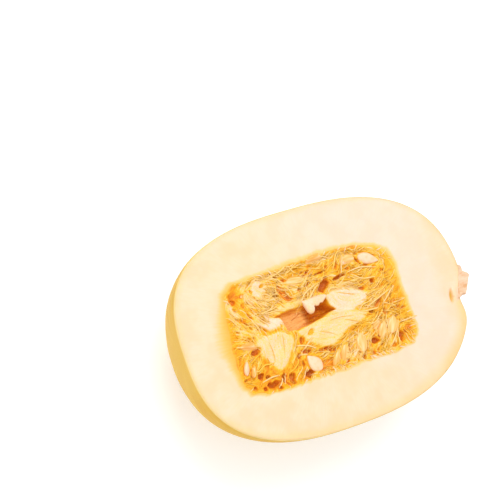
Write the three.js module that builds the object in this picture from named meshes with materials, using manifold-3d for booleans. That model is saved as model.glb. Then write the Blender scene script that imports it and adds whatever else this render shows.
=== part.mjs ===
// Half of a spaghetti squash, cut lengthwise, lying on its rind with the cut face up.
// Millimetres, +Z up. The origin is the middle of the flat spot that it rests on, under its widest ring.
// +X points to the stem end and -X to the blossom end.
import * as THREE from "three";
import { mergeVertices } from "three/addons/utils/BufferGeometryUtils.js";
import Module from "manifold-3d";

const wasm = await Module();
wasm.setup();

// Outer form: a barrel, round across, with its own reach and fullness towards each end.
const WIDEST_RADIUS = 70;
const BLOSSOM_END = { reach: 97, fullness: 2.7 };
const STEM_END = { reach: 103, fullness: 2.5 };
const BODY = { stations: 34, sides: 56 };
const RIBS = { count: 10, middle: 0.25, shoulder: 1.3, shoulderFrom: 20, shoulderTo: 80, fadeRadius: 20 };
const DIMPLE = { y: -13.5, depth: 6, radius: 10 };

// The axis drifts sideways by these amounts at this distance from the middle.
const SWAY = { bend: 2.2, lean: 1.6, at: 100 };

// The cut passes just above the axis, so that a little more than half is left.
const FLAT_SPOT_DEPTH = 1.2;
const CUT_ABOVE_AXIS = 3.8;
const AXIS_Z = WIDEST_RADIUS - FLAT_SPOT_DEPTH;
const CUT_Z = AXIS_Z + CUT_ABOVE_AXIS;

// Where the knife left the fruit, low on the stem side, the cut face rolls off towards the rind.
const ROLL_OFF = { heading: -45, from: 84, step: 4, tilts: [8, 16, 26] };

// Seed cavity: a rounded rectangle in plan, half round across, with straight sides near the cut.
const CAVITY = { x: -4.7, y: 1.5, halfLength: 62.8, halfWidth: 36.8, depth: 37, straight: 1, above: 8 };
const CAVITY_FULLNESS = { plan: 5, keel: 3.2, across: 2.2 };
const CAVITY_STEPS = { stations: 22, arc: 20, endShare: 0.995 };
const GAP = 0.35;

// The pulp lies a little under the cut plane, and comes up to it at the wall. It rolls in low lumps.
const PULP_DEPTH = { middle: 2.6, wall: 0.7, slopeFrom: 0.8 };
const LUMPS = [
  { height: 0.7, alongX: 0.31, alongY: 0.37 },
  { height: 0.4, alongX: 0.83, alongY: -0.6 },
];
const RELIEF = { step: 4.2, margin: 4, base: 6 };

// The open middle, an uneven slot that narrows as it goes down towards the stem end.
const HOLLOW_OUTLINE = [
  [-31, 7],
  [-22, 9.5],
  [-10, 10.5],
  [4, 11],
  [6.5, 8],
  [6, 2],
  [-1, -0.5],
  [-12, -2.5],
  [-26, -3.5],
  [-31, 1],
];
const HOLLOW_CENTRE = { x: -12, y: 3.5 };
const HOLLOW_LEVELS = [
  { depth: -6, scale: 1.05, shift: 0 },
  { depth: 2.5, scale: 1, shift: 0 },
  { depth: 10, scale: 0.86, shift: 2 },
  { depth: 18, scale: 0.5, shift: 9 },
];
const NUB = { x: -9, y: 9, radiusX: 2.7, radiusY: 5.2, radiusZ: 2 };

// Pockets that seeds and strands have left. turn is the heading of the long side, in degrees.
const PITS = [
  { x: -55, y: 25, long: 5.5, wide: 4.2, turn: 80, depth: 4.5 },
  { x: -20, y: 19, long: 8.5, wide: 2.4, turn: -58, depth: 4 },
  { x: 6, y: 18, long: 5.5, wide: 2.8, turn: 40, depth: 6 },
  { x: 39, y: 12, long: 3, wide: 2.2, turn: 20, depth: 3.5 },
  { x: -51, y: -9, long: 3.4, wide: 2.2, turn: 10, depth: 3.5 },
  { x: -21, y: -11, long: 3.2, wide: 2.2, turn: 70, depth: 3.5 },
  { x: -54, y: -24, long: 3.4, wide: 2.4, turn: 0, depth: 4 },
  { x: -47, y: -30.5, long: 5, wide: 2.6, turn: 0, depth: 5 },
  { x: -34, y: -30.5, long: 3.2, wide: 2.2, turn: 75, depth: 4 },
  { x: -24, y: -30, long: 4, wide: 2.8, turn: 20, depth: 5 },
  { x: -9, y: -29, long: 5.5, wide: 2.6, turn: 5, depth: 3.5 },
  { x: 9, y: -22, long: 4.5, wide: 2.2, turn: 80, depth: 3.5 },
  { x: 28, y: -24, long: 3.8, wide: 2.6, turn: -10, depth: 4 },
  { x: 47, y: -25, long: 5, wide: 2.4, turn: 65, depth: 4.5 },
  { x: 40, y: -2, long: 4, wide: 2.2, turn: 40, depth: 3 },
];

// Smooth skins between the seed rows and the hollow. They stand above the pulp by their lift.
const SKINS = [
  { x: 20, y: 7, long: 15, wide: 7, turn: 0, lift: 1.6 },
  { x: 8, y: -9, long: 23, wide: 8.5, turn: -8, lift: 1.3 },
  { x: -36, y: -10, long: 12, wide: 12, turn: 0, lift: 1.5 },
  { x: -38, y: 4, long: 8, wide: 3.6, turn: 10, lift: 2.0 },
  { x: -3, y: 13.5, long: 12, wide: 2.4, turn: 4, lift: 2.2 },
];

// Seeds: flat, round at one end and pointed at the other. turn is the heading of the point.
const SEED = { length: 14, width: 7.6, thickness: 2.6, sides: 8, middle: 0.45 };
const SEED_PROFILE = [
  { along: 0, width: 0 },
  { along: 0.08, width: 0.52 },
  { along: 0.3, width: 0.98 },
  { along: 0.58, width: 0.88 },
  { along: 0.82, width: 0.5 },
  { along: 1, width: 0 },
];
const SEEDS = [
  { x: 41.5, y: 26, turn: -22, roll: 12, pitch: 4, sink: 0.6 },
  { x: 29, y: 30, turn: 172, roll: -35, pitch: 0, sink: 1.6 },
  { x: 8, y: 34, turn: 8, roll: 60, pitch: 0, sink: 1.4 },
  { x: 14, y: 24.5, turn: 10, roll: -20, pitch: 6, sink: 2.0 },
  { x: -13, y: 24, turn: 25, roll: 40, pitch: 0, sink: 2.0 },
  { x: -61, y: -17, turn: 68, roll: 74, pitch: 0, sink: 1.0 },
  { x: -57.5, y: -19, turn: 80, roll: 66, pitch: 0, sink: 1.8 },
  { x: -17.5, y: -25.5, turn: -62, roll: 8, pitch: 0, sink: 0.4 },
  { x: 6.5, y: -24, turn: 70, roll: 35, pitch: 0, sink: 1.4 },
  { x: 18, y: -23.5, turn: 75, roll: -20, pitch: 8, sink: 0.9 },
  { x: 36, y: -20, turn: 62, roll: 25, pitch: 0, sink: 1.3 },
  { x: 45, y: -18, turn: 55, roll: -30, pitch: 0, sink: 1.5 },
  { x: -52, y: -5, turn: -20, roll: 30, pitch: -6, sink: 1.7 },
  { x: -44, y: 21, turn: -40, roll: 30, pitch: 0, sink: 2.0 },
];

// Strands of the pulp. Each arches between two roots that are sunk into it.
const STRANDS = { count: 90, radius: 0.65, sides: 3, bays: 4, rise: 1.5, sink: 1.3, seed: 7 };
const STRAND_LENGTH = { shortest: 9, longest: 20, bow: 0.25 };
const STRAND_ZONES = { outermost: 0.92, wall: 0.72, spread: 46, clearOfHollow: 22, clearOfSkin: 0.95 };

// Stem stub: corky and ridged, flared where it meets the fruit, and cut through with it. It leans to -Y.
const STEM = { seatX: 97.5, seatY: -3.5, turn: -24, ridges: 5, ridgeHeight: 0.06, sides: 30, root: 1.5 };
const STEM_RINGS = [
  { along: -STEM.root, radius: 11 },
  { along: 0.5, radius: 11.8 },
  { along: 3, radius: 11.4 },
  { along: 4.8, radius: 8.4 },
  { along: 8.6, radius: 7.6 },
];
const FURROW = { x: 89.8, y: -12.3, long: 5.5, wide: 1.5, deep: 4, turn: 76 };

const CUTTER_SIZE = 400;
const DEGREE = Math.PI / 180;
const UP = new THREE.Vector3(0, 0, 1);

// Repeatable random numbers from 0 to 1.
function randomFrom(seed) {
  let state = seed;
  return () => {
    state = (state + 0x6d2b79f5) | 0;
    let mixed = Math.imul(state ^ (state >>> 15), 1 | state);
    mixed = (mixed + Math.imul(mixed ^ (mixed >>> 7), 61 | mixed)) ^ mixed;
    return ((mixed ^ (mixed >>> 14)) >>> 0) / 2 ** 32;
  };
}

function smoothStep(t) {
  const s = Math.min(1, Math.max(0, t));
  return s * s * (3 - 2 * s);
}

// Quarter superellipse: 1 at u = 0 and 0 at u = 1, fuller as the power rises.
function fullCurve(u, power) {
  return Math.pow(Math.max(0, 1 - Math.pow(Math.abs(u), power)), 1 / power);
}

// Sine or cosine made fuller, with its sign kept.
function fullWave(value, power) {
  return Math.sign(value) * Math.pow(Math.abs(value), 2 / power);
}

// How far out (x, y) lies in a turned ellipse: 0 at its middle and 1 at its edge.
function ellipseReach(x, y, spot) {
  const c = Math.cos(spot.turn * DEGREE);
  const s = Math.sin(spot.turn * DEGREE);
  const along = ((x - spot.x) * c + (y - spot.y) * s) / spot.long;
  const across = ((y - spot.y) * c - (x - spot.x) * s) / spot.wide;
  return Math.hypot(along, across);
}

// How far out (x, y) lies in the cavity's plan: 0 in its middle and 1 at its wall.
function planReach(x, y) {
  const power = CAVITY_FULLNESS.plan;
  const u = Math.abs((x - CAVITY.x) / CAVITY.halfLength);
  const v = Math.abs((y - CAVITY.y) / CAVITY.halfWidth);
  return Math.pow(Math.pow(u, power) + Math.pow(v, power), 1 / power);
}

// A ring of points, one for each of the equal angles round a circle.
function ringOf(sides, pointAt) {
  return Array.from({ length: sides }, (_, j) => pointAt((j / sides) * 2 * Math.PI));
}

// A closed surface through rings of equal size. A ring of one point is a pole.
// An end ring of several points is closed by a flat fan.
function loft(rings) {
  const sides = Math.max(...rings.map((ring) => ring.length));
  const positions = [];
  const starts = [];
  for (const ring of rings) {
    starts.push(positions.length / 3);
    ring.forEach((p) => positions.push(p.x, p.y, p.z));
  }
  const corner = (i, j) => starts[i] + (rings[i].length === 1 ? 0 : j % sides);
  const indices = [];
  for (let i = 0; i + 1 < rings.length; i++) {
    for (let j = 0; j < sides; j++) {
      const [a, b] = [corner(i, j), corner(i, j + 1)];
      const [c, d] = [corner(i + 1, j), corner(i + 1, j + 1)];
      if (a !== b) indices.push(a, b, c);
      if (c !== d) indices.push(b, d, c);
    }
  }
  const last = rings.length - 1;
  for (let j = 1; j + 1 < sides; j++) {
    if (rings[0].length > 1) indices.push(corner(0, 0), corner(0, j + 1), corner(0, j));
    if (rings[last].length > 1) indices.push(corner(last, 0), corner(last, j), corner(last, j + 1));
  }
  const geometry = new THREE.BufferGeometry();
  geometry.setAttribute("position", new THREE.Float32BufferAttribute(positions, 3));
  geometry.setIndex(indices);
  return geometry;
}

// From geometry to a solid that can be joined and cut, and back.
function solid(geometry) {
  const bare = geometry.clone();
  bare.deleteAttribute("normal");
  bare.deleteAttribute("uv");
  const merged = mergeVertices(bare, 1e-4);
  const mesh = new wasm.Mesh({
    numProp: 3,
    vertProperties: new Float32Array(merged.attributes.position.array),
    triVerts: new Uint32Array(merged.index.array),
  });
  return new wasm.Manifold(mesh);
}

function geometryOf(made) {
  const mesh = made.getMesh();
  const geometry = new THREE.BufferGeometry();
  geometry.setAttribute("position", new THREE.BufferAttribute(new Float32Array(mesh.vertProperties), 3));
  geometry.setIndex(new THREE.BufferAttribute(new Uint32Array(mesh.triVerts), 1));
  geometry.computeVertexNormals();
  return geometry;
}

function largestPiece(made) {
  return made.decompose().reduce((best, piece) => (piece.volume() > best.volume() ? piece : best));
}

// A block of CUTTER_SIZE whose underside, before it is placed, lies in the plane z = 0.
function blockAbove(place) {
  const block = new THREE.BoxGeometry(CUTTER_SIZE, CUTTER_SIZE, CUTTER_SIZE);
  block.translate(0, 0, CUTTER_SIZE / 2);
  return solid(block.applyMatrix4(place));
}

// An ellipsoid of 80 faces, turned about Z.
function ellipsoid(x, y, z, radii, turn) {
  const form = new THREE.IcosahedronGeometry(1, 1);
  form.scale(radii[0], radii[1], radii[2]);
  form.rotateZ(turn * DEGREE);
  form.translate(x, y, z);
  return solid(form);
}

// Everything above the cut face, with its rolled-off corner.
function aboveCutFace() {
  let cutter = blockAbove(new THREE.Matrix4().makeTranslation(0, 0, CUT_Z));
  let drop = 0;
  ROLL_OFF.tilts.forEach((tilt, i) => {
    const hinge = ROLL_OFF.from + i * ROLL_OFF.step;
    const place = new THREE.Matrix4()
      .makeRotationZ(ROLL_OFF.heading * DEGREE)
      .multiply(new THREE.Matrix4().makeTranslation(hinge, 0, CUT_Z - drop))
      .multiply(new THREE.Matrix4().makeRotationY(tilt * DEGREE));
    cutter = cutter.add(blockAbove(place));
    drop += ROLL_OFF.step * Math.tan(tilt * DEGREE);
  });
  return cutter;
}

function belowFloor() {
  return blockAbove(new THREE.Matrix4().makeTranslation(0, 0, -CUTTER_SIZE));
}

// The radius of the fruit at a station, with its ribs, which stand out most on the stem's shoulder.
function ribbedRadius(x, radius, angle) {
  const shoulder = smoothStep((x - RIBS.shoulderFrom) / (RIBS.shoulderTo - RIBS.shoulderFrom));
  const height = RIBS.middle + (RIBS.shoulder - RIBS.middle) * shoulder;
  const valley = 0.5 - 0.5 * Math.cos(RIBS.count * angle);
  return radius - height * valley * Math.min(1, radius / RIBS.fadeRadius);
}

// The whole fruit before it is cut.
function wholeFruit() {
  const rings = [];
  for (let i = 0; i <= BODY.stations; i++) {
    const t = (i / BODY.stations) * Math.PI;
    const end = t < Math.PI / 2 ? BLOSSOM_END : STEM_END;
    const x = -fullWave(Math.cos(t), end.fullness) * end.reach;
    const radius = WIDEST_RADIUS * fullWave(Math.sin(t), end.fullness);
    const share = x / SWAY.at;
    const sway = SWAY.bend * share ** 2 + SWAY.lean * share;
    const isPole = i === 0 || i === BODY.stations;
    const pointAt = (angle) => {
      const reach = isPole ? 0 : ribbedRadius(x, radius, angle);
      const y = reach * Math.cos(angle) + sway;
      const z = reach * Math.sin(angle);
      const fromStem = Math.hypot(y - DIMPLE.y, z) / DIMPLE.radius;
      const dimple = x > 0 ? DIMPLE.depth * Math.exp(-(fromStem ** 2)) : 0;
      return new THREE.Vector3(x - dimple, y, z + AXIS_Z);
    };
    rings.push(ringOf(isPole ? 1 : BODY.sides, pointAt));
  }
  return solid(loft(rings));
}

// The seed cavity, carried up past the cut plane. inset draws its walls inwards.
function cavityForm(inset) {
  const rings = [];
  for (let i = 0; i <= CAVITY_STEPS.stations; i++) {
    const u = CAVITY_STEPS.endShare * Math.sin((i / CAVITY_STEPS.stations - 0.5) * Math.PI);
    const x = CAVITY.x + u * (CAVITY.halfLength - inset);
    const halfWidth = (CAVITY.halfWidth - inset) * fullCurve(u, CAVITY_FULLNESS.plan);
    const depth = (CAVITY.depth - inset) * fullCurve(u, CAVITY_FULLNESS.keel);
    const ring = [
      new THREE.Vector3(x, CAVITY.y + halfWidth, CUT_Z + CAVITY.above),
      new THREE.Vector3(x, CAVITY.y - halfWidth, CUT_Z + CAVITY.above),
    ];
    for (let j = 0; j <= CAVITY_STEPS.arc; j++) {
      const angle = (j / CAVITY_STEPS.arc) * Math.PI;
      const y = CAVITY.y - halfWidth * fullWave(Math.cos(angle), CAVITY_FULLNESS.across);
      const drop = depth * Math.abs(fullWave(Math.sin(angle), CAVITY_FULLNESS.across));
      ring.push(new THREE.Vector3(x, y, CUT_Z - CAVITY.straight - drop));
    }
    rings.push(ring);
  }
  return solid(loft(rings));
}

// Height of the pulp's surface at (x, y), without its pits and its hollow.
function pulpHeight(x, y) {
  const inward = smoothStep((1 - planReach(x, y)) / (1 - PULP_DEPTH.slopeFrom));
  let lumps = 0;
  for (const lump of LUMPS) {
    lumps += lump.height * Math.sin(lump.alongX * x) * Math.cos(lump.alongY * y);
  }
  for (const skin of SKINS) {
    lumps += skin.lift * smoothStep(1.5 - ellipseReach(x, y, skin));
  }
  return CUT_Z - PULP_DEPTH.wall - (PULP_DEPTH.middle - PULP_DEPTH.wall - lumps) * inward;
}

// A block whose top is the pulp's surface.
function reliefBlock() {
  const base = CUT_Z - CAVITY.depth - RELIEF.base;
  const rows = Math.ceil((2 * (CAVITY.halfLength + RELIEF.margin)) / RELIEF.step);
  const columns = Math.ceil((2 * (CAVITY.halfWidth + RELIEF.margin)) / RELIEF.step);
  const xAt = (i) => CAVITY.x + (i - rows / 2) * RELIEF.step;
  const yAt = (j) => CAVITY.y + (j - columns / 2) * RELIEF.step;
  const rings = [];
  for (let i = 0; i <= rows; i++) {
    const ring = [new THREE.Vector3(xAt(i), yAt(0), base), new THREE.Vector3(xAt(i), yAt(columns), base)];
    for (let j = columns; j >= 0; j--) {
      ring.push(new THREE.Vector3(xAt(i), yAt(j), pulpHeight(xAt(i), yAt(j))));
    }
    rings.push(ring);
  }
  return solid(loft(rings));
}

function hollowForm() {
  const rings = HOLLOW_LEVELS.map((level) =>
    HOLLOW_OUTLINE.map(([x, y]) => {
      const outX = HOLLOW_CENTRE.x + (x - HOLLOW_CENTRE.x) * level.scale + level.shift;
      const outY = HOLLOW_CENTRE.y + (y - HOLLOW_CENTRE.y) * level.scale;
      return new THREE.Vector3(outX, outY, CUT_Z - level.depth);
    }),
  );
  return solid(loft(rings));
}

// A round end of the skin that hangs over the hollow.
function nubForm() {
  const z = pulpHeight(NUB.x, NUB.y) - NUB.radiusZ / 2;
  return ellipsoid(NUB.x, NUB.y, z, [NUB.radiusX, NUB.radiusY, NUB.radiusZ], 0);
}

function pitForm(pit) {
  return ellipsoid(pit.x, pit.y, pulpHeight(pit.x, pit.y), [pit.long, pit.wide, pit.depth], pit.turn);
}

// One seed with a flat side up, then rolled about its length, pitched and turned to its heading.
function seedForm(seed) {
  const rings = SEED_PROFILE.map((station) => {
    const pointAt = (angle) => {
      const x = (station.along - SEED.middle) * SEED.length;
      const y = (SEED.width / 2) * station.width * Math.cos(angle);
      const z = (SEED.thickness / 2) * Math.sqrt(station.width) * Math.sin(angle);
      return new THREE.Vector3(x, y, z);
    };
    return ringOf(station.width === 0 ? 1 : SEED.sides, pointAt);
  });
  const place = new THREE.Matrix4()
    .makeTranslation(seed.x, seed.y, pulpHeight(seed.x, seed.y) + SEED.thickness / 2 - seed.sink)
    .multiply(new THREE.Matrix4().makeRotationZ(seed.turn * DEGREE))
    .multiply(new THREE.Matrix4().makeRotationY(-seed.pitch * DEGREE))
    .multiply(new THREE.Matrix4().makeRotationX(seed.roll * DEGREE));
  return solid(loft(rings).applyMatrix4(place));
}

// Near the wall strands run out to it, and further in they wind round the hollow.
function strandHeading(x, y, random) {
  const outX = (x - CAVITY.x) / CAVITY.halfLength ** 2;
  const outY = (y - CAVITY.y) / CAVITY.halfWidth ** 2;
  const quarterTurn = planReach(x, y) > STRAND_ZONES.wall ? 0 : Math.PI / 2;
  const spread = (2 * random() - 1) * STRAND_ZONES.spread * DEGREE;
  return Math.atan2(outY, outX) + quarterTurn + spread;
}

// A thin arch whose middle stands above the pulp and whose two ends are sunk in it.
function strandForm(x, y, random) {
  const heading = strandHeading(x, y, random);
  const length = STRAND_LENGTH.shortest + (STRAND_LENGTH.longest - STRAND_LENGTH.shortest) * random();
  const bow = (2 * random() - 1) * STRAND_LENGTH.bow * length;
  const rise = STRANDS.rise * (0.6 + 0.8 * random());
  const ahead = new THREE.Vector3(Math.cos(heading), Math.sin(heading), 0);
  const aside = new THREE.Vector3(-ahead.y, ahead.x, 0);
  const spine = [];
  for (let i = 0; i <= STRANDS.bays; i++) {
    const share = i / STRANDS.bays;
    const arch = 4 * share * (1 - share);
    const p = new THREE.Vector3(x, y, 0);
    p.addScaledVector(ahead, (share - 0.5) * length);
    p.addScaledVector(aside, bow * (arch - 0.6));
    p.z = pulpHeight(p.x, p.y) - STRANDS.sink + (STRANDS.sink + rise) * arch;
    spine.push(p);
  }
  const rings = spine.map((p, i) => {
    if (i === 0 || i === STRANDS.bays) return [p];
    const along = spine[i + 1].clone().sub(spine[i - 1]).normalize();
    const across = UP.clone().cross(along).normalize();
    const over = along.clone().cross(across);
    return ringOf(STRANDS.sides, (angle) => {
      const corner = p.clone().addScaledVector(over, STRANDS.radius * Math.cos(angle));
      return corner.addScaledVector(across, -STRANDS.radius * Math.sin(angle));
    });
  });
  return solid(loft(rings));
}

// True where a strand may grow: off the hollow, off the smooth skins and clear of the wall.
function isStringy(x, y) {
  const fromHollow = Math.hypot(x - HOLLOW_CENTRE.x, 3 * (y - HOLLOW_CENTRE.y));
  const offSkins = SKINS.every((skin) => ellipseReach(x, y, skin) > STRAND_ZONES.clearOfSkin);
  const insideWall = planReach(x, y) < STRAND_ZONES.outermost;
  return fromHollow > STRAND_ZONES.clearOfHollow && offSkins && insideWall;
}

function strandForms() {
  const random = randomFrom(STRANDS.seed);
  const made = [];
  while (made.length < STRANDS.count) {
    const x = CAVITY.x + (2 * random() - 1) * CAVITY.halfLength;
    const y = CAVITY.y + (2 * random() - 1) * CAVITY.halfWidth;
    if (isStringy(x, y)) made.push(strandForm(x, y, random));
  }
  return made;
}

// The stub with its root. spread widens it into the seat that it stands in.
function stemForm(spread) {
  const rings = STEM_RINGS.map((station, i) =>
    ringOf(STEM.sides, (angle) => {
      const along = station.along - (i === 0 ? spread : 0);
      const radius = station.radius * (1 + STEM.ridgeHeight * Math.cos(STEM.ridges * angle)) + spread;
      return new THREE.Vector3(along, radius * Math.cos(angle), radius * Math.sin(angle));
    }),
  );
  const place = new THREE.Matrix4()
    .makeTranslation(STEM.seatX, STEM.seatY, AXIS_Z)
    .multiply(new THREE.Matrix4().makeRotationZ(STEM.turn * DEGREE));
  return solid(loft(rings).applyMatrix4(place));
}

// A furrow beside the stem that the cut has opened.
function furrowForm() {
  return ellipsoid(FURROW.x, FURROW.y, CUT_Z, [FURROW.long, FURROW.wide, FURROW.deep], FURROW.turn);
}

function fleshSolid() {
  return wholeFruit()
    .subtract(aboveCutFace())
    .subtract(belowFloor())
    .subtract(cavityForm(0))
    .subtract(stemForm(GAP))
    .subtract(furrowForm());
}

function pulpSolid() {
  const hollowed = wasm.Manifold.union([hollowForm(), ...PITS.map(pitForm)]);
  const standing = wasm.Manifold.union([nubForm(), ...SEEDS.map(seedForm), ...strandForms()]);
  return reliefBlock().subtract(hollowed).add(standing).intersect(cavityForm(GAP));
}

function stemSolid() {
  return stemForm(0).subtract(aboveCutFace());
}

function node(name, made, color, roughness) {
  const material = new THREE.MeshStandardMaterial({ color, roughness, metalness: 0 });
  const mesh = new THREE.Mesh(geometryOf(largestPiece(made)), material);
  mesh.name = name;
  return mesh;
}

const squashHalf = new THREE.Group();
squashHalf.add(node("rind_and_flesh", fleshSolid(), 0xf3cf72, 0.45));
squashHalf.add(node("pulp_and_seeds", pulpSolid(), 0xf5ae35, 0.5));
squashHalf.add(node("stem_stub", stemSolid(), 0xcbb08a, 0.85));

export default squashHalf;
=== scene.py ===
"""Half of a spaghetti squash on a pale floor: rind, flesh, stringy pulp with seeds, and stem stub.

Places and sizes are in millimetres in the part's frame: +X to the stem end, +Z up through the cut face,
origin in the middle of the flat spot that the half rests on. Meshes are made in metres.
"""

import math

import bpy
import numpy as np
from mathutils import Matrix, Vector


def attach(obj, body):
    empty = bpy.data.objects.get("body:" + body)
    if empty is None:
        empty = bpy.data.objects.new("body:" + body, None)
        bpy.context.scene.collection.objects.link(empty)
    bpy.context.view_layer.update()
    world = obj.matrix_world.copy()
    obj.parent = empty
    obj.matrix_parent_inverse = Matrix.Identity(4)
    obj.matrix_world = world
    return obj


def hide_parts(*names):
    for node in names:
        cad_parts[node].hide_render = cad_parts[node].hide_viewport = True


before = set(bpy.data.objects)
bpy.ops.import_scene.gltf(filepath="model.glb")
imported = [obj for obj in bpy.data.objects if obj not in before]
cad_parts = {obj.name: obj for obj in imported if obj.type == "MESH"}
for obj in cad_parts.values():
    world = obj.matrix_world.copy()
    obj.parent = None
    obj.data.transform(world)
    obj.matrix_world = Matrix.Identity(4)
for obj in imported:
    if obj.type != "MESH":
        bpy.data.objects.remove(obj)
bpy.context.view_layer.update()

MM = 0.001
BODY = "root"
NODE_FLESH = "rind_and_flesh"
NODE_PULP = "pulp_and_seeds"
NODE_STEM = "stem_stub"

# Outer form
WIDEST_RADIUS = 70.0
BLOSSOM_REACH, BLOSSOM_FULLNESS = 97.0, 2.7
STEM_REACH, STEM_FULLNESS = 103.0, 2.5
SWAY_BEND, SWAY_LEAN, SWAY_AT = 2.2, 1.6, 100.0
RIB_COUNT, RIB_MIDDLE, RIB_SHOULDER = 10, 0.25, 1.3
DIMPLE_Y, DIMPLE_DEPTH, DIMPLE_RADIUS = -13.5, 6.0, 10.0
AXIS_Z = WIDEST_RADIUS - 1.2
CUT_Z = AXIS_Z + 3.8
RIND_THICKNESS = 0.6
RIM_ROUNDING = 0.35

# The cut face rolls off towards the rind low on the stem side.
ROLL_HEADING, ROLL_FROM, ROLL_DEPTH, ROLL_WIDTH = -45.0, 83.0, 3.6, 13.0

# Seed cavity: its middle, depth and section, about half its length and width, how far the pulp
# reaches into the flesh, and its edge in the cut face
CAVITY_MIDDLE, CAVITY_DEEP, WALL_FULLNESS = (-4.7, 1.5), 37.0, 2.4
CAVITY_HALF_LENGTH, CAVITY_HALF_WIDTH, BED_OVERLAP = 62.5, 36.5, 0.5
CAVITY_EDGE = [
    (58, -26), (58.5, -10), (57.5, 6), (58.5, 18), (57, 27), (50, 33.5), (36, 37), (18, 38.3),
    (0, 37.3), (-20, 36), (-40, 35), (-54, 34), (-61, 28), (-64, 15), (-66, 0), (-67.5, -14),
    (-67, -26), (-62, -32.5), (-52, -35.5), (-35, -36), (-15, -35), (10, -34.2), (38, -34), (52, -32.5),
]

# Pulp relief, with depths below the cut plane, and how much darker its pockets and hollow are painted as
# shade
PULP_DEPTH = 2.3
# Pockets: share of their depth in the relief, painted shade for each mm of depth, and the darkest tone
PIT_RELIEF, PIT_PAINTED_SHADE, DEEPEST_TONE = 0.6, 0.13, 0.14
HOLLOW_OUTLINE = [
    (-32.5, 8), (-27, 9.2), (-20, 9.9), (-11, 10.4), (2, 11), (5.2, 12.5), (6, 9), (6, 6), (9.8, 1.6),
    (4, 1), (-1, -0.6), (-8, -1.9), (-13, -3), (-20, -3.8), (-26.5, -3.2), (-27.6, 1), (-28.6, 6),
]
# The hollow's depth at its shallow and deep ends, and its dark tone: painted shade in the recess under the
# nub
HOLLOW_SHALLOW, HOLLOW_DEEP, HOLLOW_SHADE_TONE = 3.5, 11.0, 0.23

# Pockets: x, y, half length, half width, heading in degrees, depth
PITS = [
    (-54.3, 27.2, 5.8, 4.4, 80, 1.5), (-57, 26.4, 3.6, 1.3, 75, 2.2), (-55.4, 23.6, 2.2, 1.7, 20, 3.8),
    (-20.5, 19, 8, 2.4, -62, 3.2), (6.8, 18.2, 6, 2.5, 38, 7), (18.2, 20.8, 4.6, 1.4, 8, 5),
    (40.2, 12.8, 2, 1.5, 30, 4.5), (-51.5, -8.8, 3.2, 1.8, 20, 4.8), (-19.8, -10.2, 2.6, 2, 70, 3.2),
    (-12, -7, 2.6, 1.4, 30, 2.2), (-53.2, -23.6, 2.2, 1.6, 0, 4.5), (-49, -25.6, 1.6, 1.2, 0, 3.5),
    (-47.5, -31, 3.8, 2, 8, 5), (-53.6, -32, 1.9, 1.5, 20, 4), (-60, -30, 1.5, 1.3, 0, 3),
    (-64.6, -24.4, 1.5, 1.1, 0, 2.6), (-43.6, -34, 1.4, 1, 60, 3), (-24, -24, 2, 0.9, 75, 3),
    (-39, -29, 2.6, 1.6, 70, 3.5), (-34, -31, 3.2, 2, 75, 4), (-22, -31.2, 3.2, 2.5, 10, 5),
    (-3, -20.5, 4.5, 1.6, -12, 3.5), (-19, -17.5, 3.2, 1.6, -10, 3.5), (-25, -19, 2, 1.5, 40, 3),
    (-10, -29, 6.5, 2.6, 0, 1.6), (10, -23, 3.6, 1.3, 80, 3), (28.9, -24, 3.2, 1.9, -10, 5.4),
    (47, -26, 4.5, 1.8, 65, 4.5), (39, -2, 4, 1.8, 40, 2.6), (48.5, -3.5, 3, 1.8, 25, 2),
    (-36, -0.6, 5, 0.8, 5, 0.7), (42, -8, 2.2, 1.6, 60, 3), (33, -6, 2.6, 1, -12, 3),
    (53.5, -22, 2.6, 2.6, 0, 2.5), (31.5, 10, 2.2, 1.4, 0, 2.5), (-34, 28.5, 1.8, 1.3, 20, 3),
    (-52.5, 10, 2.8, 0.9, -52, 3), (-48, 12.5, 2.8, 0.9, -60, 2.5), (-42, 3, 3.2, 0.9, -48, 2.5),
    (-49.5, 20, 2.2, 1.3, -10, 1.6), (-10, 20, 2.2, 1.6, 60, 3), (-3, 22, 3, 0.9, 20, 3),
    (7, 26.5, 4.5, 0.7, 8, 3), (-27, 20, 2, 1.2, 0, 2.6), (35, 27, 3.6, 0.9, -62, 2.6),
    (28, 37, 8, 0.5, -4, 1.5), (17, -31.5, 2.4, 1.2, 60, 3), (40, -30.5, 2.2, 1.6, 30, 3),
    (5, -31.5, 2, 1.2, 40, 3),
]
SMALL_PITS = {"count": 110, "size": (0.6, 1.15), "seed": 4}

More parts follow.
